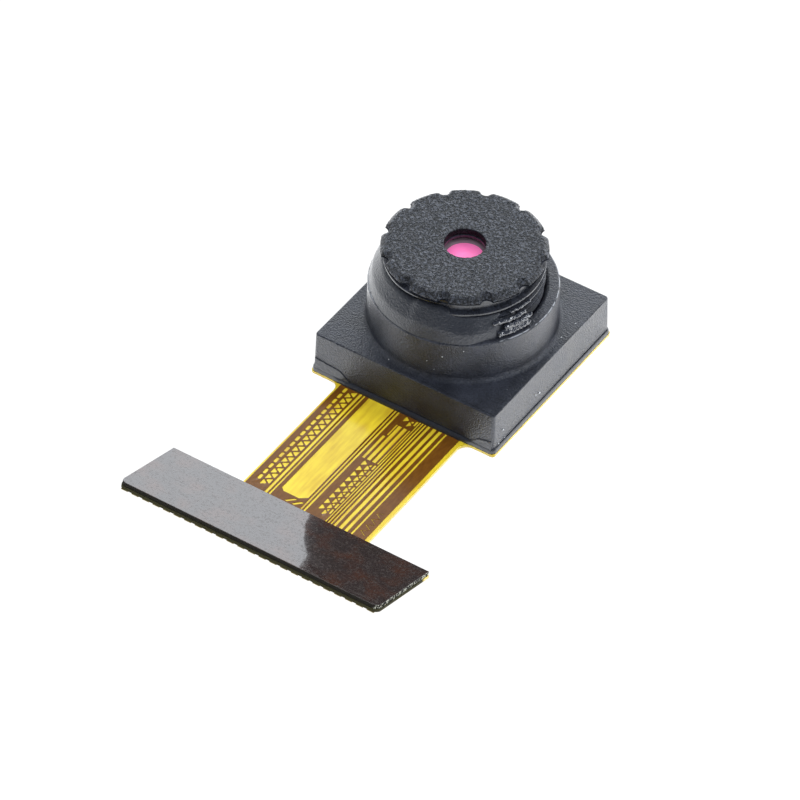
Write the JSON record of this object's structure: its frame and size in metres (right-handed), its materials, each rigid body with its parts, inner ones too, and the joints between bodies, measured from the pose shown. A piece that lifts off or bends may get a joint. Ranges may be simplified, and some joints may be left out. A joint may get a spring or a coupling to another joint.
{
  "type": "camera module",
  "caption": "Fixed-focus camera module: a threaded lens barrel with a notched grip flange in a square black holder, on a printed flex with a bent-up contact tongue.",
  "frame": {"origin": "centre of the underside of the head, on the face of its steel stiffener", "axes": "+Z along the lens axis towards the scene, -Y along the flex from the head to the contact tongue, +X along the row of contacts"},
  "size_m": [0.0121, 0.0194, 0.0061],
  "materials": {
    "barrel_plastic": "spark-eroded black moulded plastic",
    "coated_lens": "coated front lens with a magenta reflection",
    "clear_lens": "clear moulded lens",
    "black_film": "matt black film",
    "holder_plastic": "fine satin black moulded plastic",
    "black_adhesive": "cured black adhesive",
    "filter_glass": "polished coated glass",
    "clear_adhesive": "cured clear adhesive",
    "cover_glass": "polished glass",
    "silicon": "polished silicon",
    "solder": "reflowed solder",
    "capacitor_ceramic": "sintered ceramic",
    "polyimide": "glossy amber polyimide film",
    "flex_copper": "copper seen through amber cover film",
    "stiffener_steel": "rolled stainless steel",
    "dark_polyimide": "glossy dark polyimide",
    "gold_plate": "gold plated copper"
  },
  "bodies": {
    "root": {"lens_barrel": "barrel_plastic", "lens_element_1": "coated_lens", "lens_element_2": "clear_lens", "lens_element_3": "clear_lens", "lens_element_4": "clear_lens", "aperture_stop": "black_film", "spacer_ring_2": "black_film", "spacer_ring_3": "black_film", "lens_retainer": "barrel_plastic", "lens_holder": "holder_plastic", "thread_lock_adhesive": "black_adhesive", "ir_filter": "filter_glass", "filter_adhesive": "clear_adhesive", "holder_adhesive": "black_adhesive", "sensor_cover_glass": "cover_glass", "sensor_dam": "black_film", "sensor_die": "silicon", "sensor_solder_balls": "solder", "capacitor_bodies": "capacitor_ceramic", "capacitor_terminals": "solder", "flex_film": "polyimide", "flex_copper": "flex_copper", "head_stiffener": "stiffener_steel", "contact_stiffener": "dark_polyimide", "contact_fingers": "gold_plate"}
  },
  "joints": []
}
